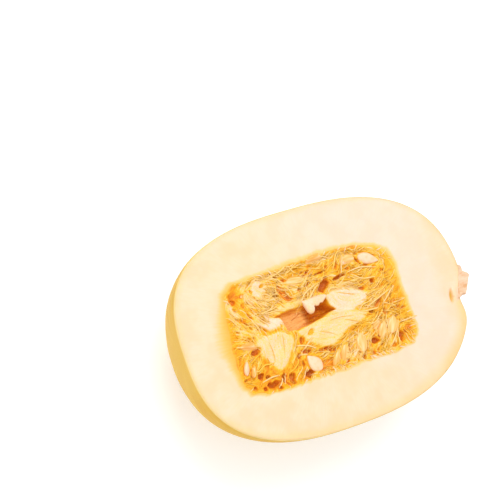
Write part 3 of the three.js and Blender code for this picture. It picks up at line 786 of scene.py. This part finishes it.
def rind_material():
    s = Shader("rind", roughness=0.5, gloss=0.14, scatter=0.2, scatter_size=0.003)
    grain = s.mark("grain", "Vector")
    streaks = s.noise(s.scaled(grain, (0.012, 0.16, 0.16)), 1.0, 3)
    dashes = s.noise(s.scaled(grain, (0.32, 1.1, 1.1)), 1.0, 1.5)
    base = s.ramp(streaks, RIND_TONES)
    flecked = s.mix(s.spread(dashes, 0.61, 0.74, 0, 0.6), base, (0.74, 0.48, 0.14))
    at_ends = s.mix(s.spread(s.mark("ends"), 0, 1, 0, 0.75), flecked, (0.69, 0.41, 0.07))
    s.color(s.mix(s.mark("rim"), at_ends, (0.83, 0.62, 0.28)))
    s.bump(dashes, 0.12, 0.35)
    return s.material


def flesh_material():
    s = Shader("flesh", roughness=0.55, gloss=0.35, scatter=0.3, scatter_size=0.004)
    fibres = s.noise(s.scaled(s.mark("spoke", "Vector"), (1.1, 0.14, 1)), 1.0, 3)
    clouds = s.noise(s.place(), 14)
    cream = s.mix(s.spread(clouds, 0.38, 0.64), (0.92, 0.595, 0.38), (0.92, 0.64, 0.45))
    color = s.mix(s.spread(fibres, 0.35, 0.7, 0, 0.3), cream, (0.92, 0.585, 0.33))
    for name, (most, tint) in FLESH_MARKS.items():
        color = s.mix(s.math("MULTIPLY", s.mark(name), most), color, tint)
    bleed = s.math("ADD", s.mark("bleed"), s.spread(fibres, 0.3, 0.7, -0.05, 0.05))
    stained = s.mix(s.spread(bleed, 0.0, 0.7, 0, 0.85), color, s.mix(s.mark("left"), *STAIN_COLORS))
    s.color(s.mix(s.spread(bleed, 0.45, 1.0, 0, 0.9), stained, s.mix(s.mark("left"), *EDGE_COLORS)))
    s.bump(s.math("ADD", fibres, s.noise(s.place(), 0.7)), 0.1, 0.25)
    return s.material


def pulp_bed_material():
    s = Shader("pulp_bed", roughness=0.42, gloss=0.18, scatter=0.15, scatter_size=0.0012)
    speckle = s.noise(s.place(), 0.9)
    dots = s.spread(s.noise(s.place(), 1.7, 1), 0.66, 0.74, 0, -0.16)
    grained = s.math("ADD", s.spread(speckle, 0.3, 0.7, -0.05, 0.05), dots)
    toned = s.ramp(s.math("ADD", s.mark("tone"), grained), PULP_TONES)
    hollowed = s.mix(s.mark("tan"), toned, HOLLOW_TAN)
    s.color(s.mix(s.mark("edge"), hollowed, s.mix(s.mark("left"), *EDGE_COLORS)))
    s.bump(speckle, 0.15, 0.4)
    return s.material


def strand_material():
    s = Shader("pulp_strands", roughness=0.38, gloss=0.2)
    speckle = s.noise(s.place(), 1.2)
    tone = s.math("ADD", s.mark("tone"), s.spread(speckle, 0.3, 0.7, -0.05, 0.05))
    s.color(s.ramp(tone, PULP_TONES))
    return s.material


def seed_skin_material():
    s = Shader("seed_skin", roughness=0.32, gloss=0.5, coat=0.1)
    s.color(s.ramp(s.mark("tone"), SEED_SKIN_TONES))
    return s.material


def seed_material():
    s = Shader("seed_coat", roughness=0.38, gloss=0.4, coat=0.1, scatter=0.05)
    mottled = s.noise(s.place(), 3.0, 3)
    face = s.mix(s.spread(mottled, 0.4, 0.7), (0.86, 0.6, 0.39), (0.84, 0.53, 0.28))
    s.color(s.mix(s.math("MULTIPLY", s.mark("edge"), 0.5), face, (0.9, 0.53, 0.22)))
    s.bump(s.noise(s.place(), 0.5), 0.06, 0.4)
    return s.material


def stem_material():
    s = Shader("stem_cork", roughness=0.85, gloss=0.2)
    along = s.noise(s.place((5, 2, 2)), 1.0, 3)
    spots = s.noise(s.place(), 3.4)
    cork = s.ramp(along, CORK_TONES)
    s.color(s.mix(s.spread(spots, 0.55, 0.7, 0, 0.6), cork, (0.66, 0.32, 0.13)))
    s.bump(s.math("ADD", along, spots), 0.35, 0.5)
    return s.material


# Pieces


def drawn_in(ring, distance, drop):
    """A ring moved towards the middle of the plan, and down."""
    moved = ring.copy()
    moved[:, :2] *= 1 - distance / np.hypot(ring[:, 0], ring[:, 1])[:, None]
    moved[:, 2] -= drop
    return moved


def make_rind():
    outer = bowl_rings(RIND_RINGS, 0.0)
    inner = bowl_rings(RIND_RINGS // 2, RIND_THICKNESS)
    bevel = 0.3 * RIM_ROUNDING
    steps = [(0, RIM_ROUNDING), (bevel, bevel), (RIM_ROUNDING, 0.06), (RIND_THICKNESS, 0.08)]
    edge = np.array([drawn_in(outer[0], *step) for step in steps])
    rings = np.concatenate([outer[:0:-1], edge, inner[1:]])
    surface = lofted(rings, (0, 0, 0), (0, 0, RIND_THICKNESS))
    x, y, z = surface[0].T
    from_axis = np.hypot(y - sway(x), z - AXIS_Z)
    angle = np.arctan2(z - AXIS_Z, y - sway(x))
    meridian = x + np.sign(x) * (WIDEST_RADIUS - from_axis) * 0.8
    grain = np.stack([meridian, WIDEST_RADIUS * np.cos(angle), WIDEST_RADIUS * np.sin(angle)], -1)
    ends = ease((44 - from_axis) / 36) * (np.abs(x) > 60)
    rim = ease((z - cut_height(x, y) + 1.7) / 1.7) * 0.9
    new_piece("rind", rind_material(), NODE_FLESH, "rind", *surface, grain=grain, ends=ends, rim=rim)


def left_share(x):
    """1 at the left edge of the cavity, where the flesh is stained most."""
    return ease((-48 - x) / 14)


def furrow_share(x, y):
    return ease(1.3 - ellipse_reach(x, y, *FURROW))


def stem_share(x, y):
    """1 under the stem stub, where the flesh lies lower."""
    along, across = turned(x, y, STEM_SEAT_X, STEM_SEAT_Y, STEM_HEADING)
    return ease(along - 1.4) * ease(12.5 - np.abs(across))


def make_flesh():
    outer = bowl_rings(FLESH_RINGS, RIND_THICKNESS - 0.1)
    rim = outer[0]
    core = farthest(lambda r: plan_reach(plan_x * r, plan_y * r) < 1, longest=90.0)
    core_line = np.stack([plan_x * core, plan_y * core], -1)
    face = []
    for share in (1 - (1 - np.linspace(0, 1, FACE_RINGS + 1)) ** 1.15)[1:]:
        x, y = (rim[:, :2] * (1 - share) + core_line * share).T
        height = cut_height(x, y) + 0.12 * broad(x, y, 22) + 0.05 * broad(x, y, 6)
        height -= FURROW_DEPTH * furrow_share(x, y) + 0.5 * stem_share(x, y)
        face.append(np.stack([x, y, height], -1))
    top, bottom = CUT_Z - 0.5, CUT_Z - 0.5 - CAVITY_DEEP
    wall = wall_rings(core_line, np.linspace(0.04, 1, WALL_RINGS + 1)[:-1], top, bottom)
    rings = np.concatenate([outer[::-1], np.array(face), np.array(wall)])
    x, y = rings[..., 0], rings[..., 1]
    reach = np.hypot(x, y)
    from_rim = np.hypot(rim[:, 0], rim[:, 1]) - reach
    lower_right = ease((past_roll(x, y) + 16) / 14)
    low_side = ease((-y - 25) / 30)
    stem_side = ease((x - 60) / 14) * ease((-y - 8) / 14)
    rim_width = 4 + 3 * low_side + 6 * lower_right + 1.5 * broad(x, y, 12)
    left = left_share(x)
    bleed_width = 2.2 + 1.4 * ease(y / 20) + left * (2 + 8 * np.exp(-(((y - 1) / 15) ** 2)))
    marks = {
        "rim": ease(1 - from_rim / rim_width) * (0.42 + 0.16 * low_side + 0.3 * stem_side),
        "bleed": np.clip(1 - (reach - core) / (bleed_width + 0.6 * broad(x, y, 4)), 0, 1),
        "left": left,
        "furrow": furrow_share(x, y),
        "pale": ease((x + 0.5 * y + 20) / 80) * ease((98 - x) / 22),
    }
    for name, smear in SMEARS.items():
        marks[name] = ease((1.4 - ellipse_reach(x, y, *smear)) / 0.8)
    marks = {name: along_rings(values) for name, values in marks.items()}
    spoke = np.stack([np.broadcast_to(plan_angle * 60, reach.shape), reach, 0 * reach], -1)
    marks["spoke"] = np.vstack([(0, 0, 0), spoke.reshape(-1, 3), (0, 0, 0)])
    surface = lofted(rings, (0, 0, RIND_THICKNESS), (*CAVITY_MIDDLE, bottom))
    new_piece("flesh", flesh_material(), NODE_FLESH, "flesh", *surface, **marks)


def square_to_plan(s, t):
    """From a square, -1 to 1 each way, to the plan of the cavity and a little of the flesh round it."""
    angle = np.arctan2(t * CAVITY_HALF_WIDTH, s * CAVITY_HALF_LENGTH)
    return plan_place(angle, np.maximum(np.abs(s), np.abs(t)) * (edge_radius(angle) + BED_OVERLAP))


def border_of(rows, columns):
    """The points round a grid of points, in order."""
    return np.concatenate(
        [
            np.arange(rows) * columns,
            (rows - 1) * columns + np.arange(1, columns),
            np.arange(rows - 2, -1, -1) * columns + columns - 1,
            np.arange(columns - 2, 0, -1),
        ]
    )


def make_bed():
    """The pulp's own body, with fibrous relief on top and a plain underside."""
    s, t = np.meshgrid(np.linspace(-1, 1, BED_ROWS), np.linspace(-1, 1, BED_COLUMNS), indexing="ij")
    x, y = square_to_plan(s, t)
    coarse, hair = combed(x, y, 8.0, 0.95, 5), combed(x, y, 5.0, 0.5, 6)
    lines = np.clip(1 - np.abs(combed(x, y, 12.0, 1.5, 7)) / 0.22, 0, 1)
    pits, hollow = pit_depth(x, y), hollow_depth(x, y)
    film = film_share(x, y, 1.6)
    inward = ease((1 - plan_reach(x, y)) / 0.05)
    relief = coarse * (0.4 - 0.3 * film) + hair * (0.16 - 0.1 * film) + lines * (0.4 - 0.3 * film)
    relief = (relief + 0.15 * fine(x, y, 1.1) * (1 - film)) * (1 - 0.6 * ease(pits / 2))
    z = ground(x, y) + (relief - np.maximum(PIT_RELIEF * pits, hollow)) * inward
    z -= 0.5 * ease((plan_reach(x, y) - 1) / 0.01)
    # Painted shade: pockets are darker the deeper they are. Streaks that stand higher are lighter and the
    # furrows between them darker, partly the pulp's own colour and partly painted shade in the furrows;
    # the raised thin lines are pale strands.
    tone = tone_at(x, y) - PIT_PAINTED_SHADE * pits + coarse * (0.12 - 0.08 * film)
    tone = tone + hair * (0.06 - 0.02 * film) + (lines - 0.3) * (0.2 - 0.14 * film)
    # The hollow takes a dark tone, painted shade of the deep recess under the nub, with its shallow left
    # part tan. Its upper wall, which the light does not reach, gets painted shade: more orange-brown and
    # less tan.
    in_hollow = ease(hollow / 2)
    shaded_upper_wall = ease((y - 5.6 - 0.06 * (x + 28)) / 1.6)
    hollow_shade_tone = HOLLOW_SHADE_TONE + 0.1 * shaded_upper_wall + 0.12 * coarse + 0.05 * hair
    tone = tone + (hollow_shade_tone - tone) * in_hollow
    # The darkest tone allowed, lower still in the deepest pockets as painted shade.
    deepest = DEEPEST_TONE + 0.07 * coarse + 0.05 * hair - 0.02 * np.clip(pits - 4, 0, 4)
    tan = in_hollow * (1 - ease((x + 13) / 9)) * (1 - 0.75 * shaded_upper_wall)
    edge = 0.1 + 0.5 * ease((y + 25) / 20) + 0.2 * broad(x, y, 6)
    marks = {
        "tone": np.clip(tone, deepest, 1),
        "tan": tan * np.clip(0.8 + 0.25 * coarse + 0.15 * hair, 0, 1),
        "edge": edge * ease((plan_reach(x, y) - 0.965) / 0.04),
        "left": left_share(x),
    }
    top = np.stack([x, y, z], -1).reshape(-1, 3)
    border = border_of(BED_ROWS, BED_COLUMNS)
    first, sides, bottom = len(top), len(border), CUT_Z - CAVITY_DEEP
    skirt = wall_rings(top[border, :2], (0.1, 0.35, 0.6, 0.8, 0.93), CUT_Z - 0.8, bottom, 0.98)
    points = np.vstack([top, *skirt, [(*CAVITY_MIDDLE, bottom)]])
    j = np.arange(sides)
    k = (j + 1) % sides
    joint = np.stack([border[j], border[k], first + k, first + j], -1)
    grid = ring_faces(BED_ROWS, BED_COLUMNS, 0, wrap=False)
    quads = np.vstack([grid, joint, ring_faces(len(skirt), sides, first)])
    last_ring = first + (len(skirt) - 1) * sides
    triangles = np.stack([last_ring + j, last_ring + k, np.full(sides, len(points) - 1)], -1)
    surface = points, quads[:, ::-1], triangles[:, ::-1]
    marks = {name: np.pad(values.ravel(), (0, len(points) - first)) for name, values in marks.items()}
    new_piece("pulp_bed", pulp_bed_material(), NODE_PULP, "pulp", *surface, **marks)


def seed_share(x, y):
    """1 over the bare seeds and the small wrapped one beside them, and 0 away from them."""
    share = np.zeros(np.shape(x))
    for seed_x, seed_y, heading, _, _, long, wide in SEEDS + WRAPPED_SEEDS[:1]:
        reach = ellipse_reach(x, y, seed_x, seed_y, long * SEED_LENGTH / 2, wide * SEED_WIDTH / 2, heading)
        share = np.maximum(share, ease((1.35 - reach) / 0.3))
    return share


def matted_share(x, y):
    """1 where the strands lie flat in the pulp: on the left, and in the upper right corner."""
    left = ease((-38 - x) / 12) * ease((y + 10) / 8)
    upper_right = ease((x - 38) / 8) * ease((y - 12) / 8)
    return np.maximum(left, upper_right)


def strand_starts(rng, count):
    """Random places where strands grow: off the hollow and the dark places, and seldom on the films."""
    x, y = np.zeros(0), np.zeros(0)
    while len(x) < count:
        px, py = rng.uniform(-70, 60, 4 * count), rng.uniform(-37, 40, 4 * count)
        keep = (plan_reach(px, py) < 0.97) & (depth_inside(px, py, HOLLOW_OUTLINE) < -1.0)
        keep &= rng.uniform(0, 1, px.shape) > film_share(px, py, 4.5)
        keep &= rng.uniform(0.3, 0.62, px.shape) < tone_at(px, py) - 0.08 * pit_depth(px, py)
        keep &= rng.uniform(0, 1, px.shape) > 0.5 * matted_share(px, py)
        x, y = np.concatenate([x, px[keep]]), np.concatenate([y, py[keep]])
    return x[:count], y[:count]


def resting_height(xs, ys, lift, beyond_edge):
    """Heights along paths that rest on the pulp, rise by lift in their middle and end sunk in it."""
    middle = arch(np.linspace(0, 1, xs.shape[-1]))
    zs = ground(xs, ys) - STRAND_SINK + (STRAND_SINK + lift) * middle**0.6
    zs -= np.maximum(1.1 * PIT_RELIEF * pit_depth(xs, ys), np.clip(hollow_depth(xs, ys), 0, 4))
    zs -= 1.6 * seed_share(xs, ys)
    beyond = ease((plan_reach(xs, ys) - 0.96) / 0.05)
    return zs * (1 - beyond) + (CUT_Z + beyond_edge) * beyond


def make_strands(name, material, count, points, step, radius, rise, spread, wander, tone, sides, seed):
    """Many strands that follow the flow, with fewer where the pulp is dark, matted or under a film."""
    rng = np.random.default_rng(seed)
    x, y = strand_starts(rng, count)
    bias = np.radians(rng.normal(0, spread, count))
    steps = step * rng.uniform(0.6, 1.3, count)
    xs, ys = flow_paths(x, y, steps, points, bias, math.radians(wander), rng.uniform(0, 500, count))
    clear = (pit_depth(xs, ys) < OPEN_PIT).all(1) & (film_share(xs, ys, 1.0).mean(1) < MOST_ON_FILM)
    clear &= (ellipse_reach(xs, ys, *CLEARING) > 1).all(1)
    x, y, xs, ys, count = x[clear], y[clear], xs[clear], ys[clear], int(clear.sum())
    lift = rng.uniform(*rise, count) * (1 - 0.75 * matted_share(x, y))
    zs = resting_height(xs, ys, lift[:, None], -1.2)
    thickness = rng.uniform(*radius, (count, 1)) * taper(np.linspace(0, 1, points), 0.35)
    *surface, up = tubes(xs, ys, zs, thickness, sides, STRAND_FLATNESS)
    under = tone_at(x, y)
    own = under + tone * (0.3 + 0.7 * ease((under - 0.42) / 0.25)) + rng.normal(0, 0.07, count)
    # Painted shade: each strand is darker on the side that faces down.
    tones = np.clip(own[:, None] + UNDERSIDE_PAINTED_SHADE * (up - 0.6), *STRAND_TONES)
    new_piece(name, material, NODE_PULP, "pulp", *surface, tone=tones.ravel())


def make_single_strands(name, material, radius, rise, tone, paths):
    xs, ys = np.array([smooth_path(path, count=24).T for path in paths]).swapaxes(0, 1)
    zs = resting_height(xs, ys, rise, 0.2)
    thickness = np.broadcast_to(radius * taper(np.linspace(0, 1, xs.shape[1]), 0.5), xs.shape)
    *surface, up = tubes(xs, ys, zs, thickness, sides=8, flatness=BOLD_FLATNESS)
    tones = np.full(up.size * len(paths), tone)
    new_piece(name, material, NODE_PULP, "pulp", *surface, tone=tones)


def make_edge_strands(material, count, points, length, radius, seed):
    """Short pale strands from the flesh into the pulp, which make the edge of the cavity ragged."""
    rng = np.random.default_rng(seed)
    angle = rng.uniform(-math.pi, math.pi, 3 * count)
    low_side = ease(-1.5 * np.sin(angle)) * ease(np.cos(angle) + 0.7)
    angle = angle[rng.uniform(0, 1, angle.shape) < 0.15 + 0.85 * low_side][:count]
    count = len(angle)
    share = np.linspace(0, 1, points)
    inward = 1.2 - (1.2 + rng.uniform(*length, (count, 1))) * share
    sideways = rng.uniform(-2.5, 2.5, (count, 1)) * share**1.5
    reach = edge_radius(angle)[:, None] + inward
    xs, ys = plan_place(angle[:, None] + sideways / reach, reach)
    thickness = rng.uniform(*radius, (count, 1)) * taper(share, 0.5)
    zs = resting_height(xs, ys, 0.5, -0.1)
    *surface, up = tubes(xs, ys, zs, thickness, sides=6, flatness=BOLD_FLATNESS)
    own = rng.uniform(0.7, 0.93, count) - 0.2 * ease((-58 - xs[:, -1]) / 4)
    # Painted shade: each edge strand is darker on the side that faces down.
    tones = own[:, None] + UNDERSIDE_PAINTED_SHADE * (up - 0.6)
    new_piece("edge_strands", material, NODE_PULP, "pulp", *surface, tone=tones.ravel())


def seed_points(swell=0.0):
    """One seed with its long axis on X and a flat side up: rounded behind, pointed in front."""
    stations, sides = 26, 28
    t = (1 - np.cos(np.linspace(0, math.pi, stations + 2)[1:-1])) / 2
    half_width = SEED_WIDTH / 2 * (np.sin(math.pi * t**0.86) ** 0.62) * (1 - 0.42 * t**2.2)
    angle = np.arange(sides) / sides * 2 * math.pi
    across = np.cos(angle)
    margin = ease((np.abs(across) - 0.72) / 0.16)
    body = np.sqrt(np.clip(1 - np.abs(across) ** 3, 0, None)) * (1 - 0.07 * margin)
    rings = []
    for station, width in zip(t, half_width):
        thick = SEED_THICKNESS / 2 * (0.3 + 0.7 * (2 * width / SEED_WIDTH) ** 0.6) * (1 + swell * 0.3)
        x = np.full(sides, (station - 0.5) * SEED_LENGTH)
        rings.append(np.stack([x, across * (width + swell), np.sign(np.sin(angle)) * thick * body], -1))
    reach = SEED_LENGTH / 2 + 0.15 + swell
    points, quads, triangles = lofted(np.array(rings), (-reach, 0, 0), (reach, 0, 0))
    return points, quads, triangles, along_rings(np.tile(margin, stations), 1, 1)


def placed(points, matrix):
    matrix = np.array(matrix)
    return points @ matrix[:3, :3].T + matrix[:3, 3]


def placed_seeds(seeds, points, quads, triangles):
    """One seed's surface copied to the place of each of the seeds."""
    copies = []
    for x, y, heading, roll, sink, long, wide in seeds:
        height = float(ground(np.array(float(x)), np.array(float(y)))) + SEED_THICKNESS / 2 - sink
        turn = Matrix.Rotation(math.radians(heading), 4, "Z") @ Matrix.Rotation(math.radians(roll), 4, "X")
        place = Matrix.Translation((x, y, height)) @ turn @ Matrix.Diagonal((long, wide, 1, 1))
        copies.append(placed(points, place))
    return np.vstack(copies), *repeated(quads, triangles, len(seeds), len(points))


def make_seeds():
    *surface, margin = seed_points()
    surface = placed_seeds(SEEDS, *surface)
    new_piece("seeds", seed_material(), NODE_PULP, "seed", *surface, edge=np.tile(margin, len(SEEDS)))


def make_wrapped_seeds():
    """Seeds under a thin streaked skin of pulp."""
    points, quads, triangles, margin = seed_points(swell=0.4)
    streak = noise_field(21)(points[:, 0] * 0.14, points[:, 1], 1.0)
    points[:, 2] += 0.14 * streak * np.sign(points[:, 2])
    surface = placed_seeds(WRAPPED_SEEDS, points, quads, triangles)
    tone = np.tile(np.clip(0.45 + 0.7 * streak - 0.2 * margin, 0, 1), len(WRAPPED_SEEDS))
    new_piece("wrapped_seeds", seed_skin_material(), NODE_PULP, "pulp", *surface, tone=tone)


def make_nub(material):
    """The white skin on the upper lip of the hollow, with the round end that hangs over it."""
    line = rounded(closed_line(NUB_OUTLINE, count=120), times=4)
    top, under = [], []
    for reach in np.linspace(0.06, 1, 14):
        plan = NUB_MIDDLE + (line - NUB_MIDDLE) * reach
        rest = ground(*plan.T) - 2.2 * ease((plan[:, 1] - 11.6) / 3)
        dome = 1.3 * full_curve(reach, 2.6) + 0.35 * fine(*plan.T, 2.2)
        top.append(np.column_stack([plan, rest + 0.4 + dome]))
        under.append(np.column_stack([plan, rest - 0.7 - dome * 0.4]))
    rings = np.array(under + top[::-1])
    points, quads, triangles = lofted(rings, under[0].mean(0), top[0].mean(0))
    surface = points, quads[:, ::-1], triangles[:, ::-1]
    tone = 0.95 - 0.05 * fine(points[:, 0], points[:, 1], 2.0)
    new_piece("nub", material, NODE_PULP, "pulp", *surface, tone=tone)


def make_stem():
    stations = np.array(STEM_RINGS, float)
    arc, chord, cut = 64, 22, CUT_Z - AXIS_Z
    rings = []
    for distance in np.linspace(stations[0, 0], stations[-1, 0], 44):
        radius = np.interp(distance, *stations.T)
        top_angle = math.asin(cut / radius)
        angle = np.linspace(top_angle, -math.pi - top_angle, arc)
        rough = 0.4 * broad(angle * 9 + 30, distance * 0.6, 1.6) + 0.15 * fine(angle * 9, distance, 0.8)
        reach = radius * (1 + STEM_RIDGE_HEIGHT * np.cos(STEM_RIDGES * angle)) + rough
        across, height = reach * np.cos(angle), np.minimum(reach * np.sin(angle), cut)
        height[[0, -1]] = cut
        chord_across = np.linspace(across[-1], across[0], chord + 2)[1:-1]
        chord_height = cut + 0.15 + 0.15 * fine(chord_across, distance, 2.4) - 0.9 * ease(1.9 - distance)
        across, height = np.append(across, chord_across), np.append(height, chord_height)
        lean = 0.14 * across * ease((distance - 4) / 4)
        rings.append(np.stack([distance + lean, across, height], -1))
    end, centre = rings[-1], rings[-1].mean(0)
    for shrink in (0.93, 0.7, 0.45, 0.2):
        inner = centre + (end - centre) * shrink
        inner[:, 0] += 0.25 * fine(inner[:, 1], inner[:, 2], 1.5) - 0.1
        rings.append(inner)
    points, quads, triangles = lofted(np.array(rings), rings[0].mean(0), centre)
    place = Matrix.Translation((STEM_SEAT_X, STEM_SEAT_Y, AXIS_Z))
    points = placed(points, place @ Matrix.Rotation(math.radians(STEM_HEADING), 4, "Z"))
    new_piece("stem", stem_material(), NODE_STEM, "stem", points, quads, triangles)


# Floor, lights and camera


def make_floor():
    s = Shader("floor", roughness=0.9, gloss=0.1, glow=FLOOR_GLOW)
    s.color(s.mix(s.noise(s.place(), 300), *FLOOR_COLORS))
    corners = [(x * FLOOR_HALF, y * FLOOR_HALF, 0) for x, y in ((-1, -1), (1, -1), (1, 1), (-1, 1))]
    piece = new_mesh("floor", s.material, corners, [(0, 1, 2, 3)])


def light_scene():
    world = bpy.data.worlds.new("studio")
    world.use_nodes = True
    background = world.node_tree.nodes["Background"]
    background.inputs["Color"].default_value = (1, 1, 1, 1)
    background.inputs["Strength"].default_value = SKY_STRENGTH
    bpy.context.scene.world = world
    for name, (place, size, energy) in LAMPS.items():
        data = bpy.data.lights.new(name, "AREA")
        data.shape = "DISK"
        data.size = size
        data.energy = energy
        lamp = new_object(name, data)
        lamp.location = place
        lamp.rotation_euler = (LAMP_AIM - Vector(place)).to_track_quat("-Z", "Y").to_euler()


def make_camera():
    data = bpy.data.cameras.new("camera")
    data.lens = CAMERA_LENS
    data.sensor_width = CAMERA_SENSOR
    data.clip_start = 0.01
    data.clip_end = 20
    camera = new_object("camera", data)
    right = CAMERA_RIGHT.normalized()
    back = right.cross(CAMERA_UP).normalized()
    turn = Matrix((right, back.cross(right), back)).transposed().to_4x4()
    camera.matrix_world = Matrix.Translation(CAMERA_PLACE * MM) @ turn
    bpy.context.scene.camera = camera


make_camera()
light_scene()
make_floor()
make_rind()
make_flesh()
make_bed()
strands = strand_material()
for strand_set, settings in STRAND_SETS.items():
    make_strands(strand_set, strands, *settings)
for strand_set, settings in SINGLE_STRANDS.items():
    make_single_strands(strand_set, strands, *settings)
make_edge_strands(strands, *EDGE_STRANDS)
make_nub(strands)
make_seeds()
make_wrapped_seeds()
make_stem()

bpy.context.scene.view_settings.view_transform = "Standard"
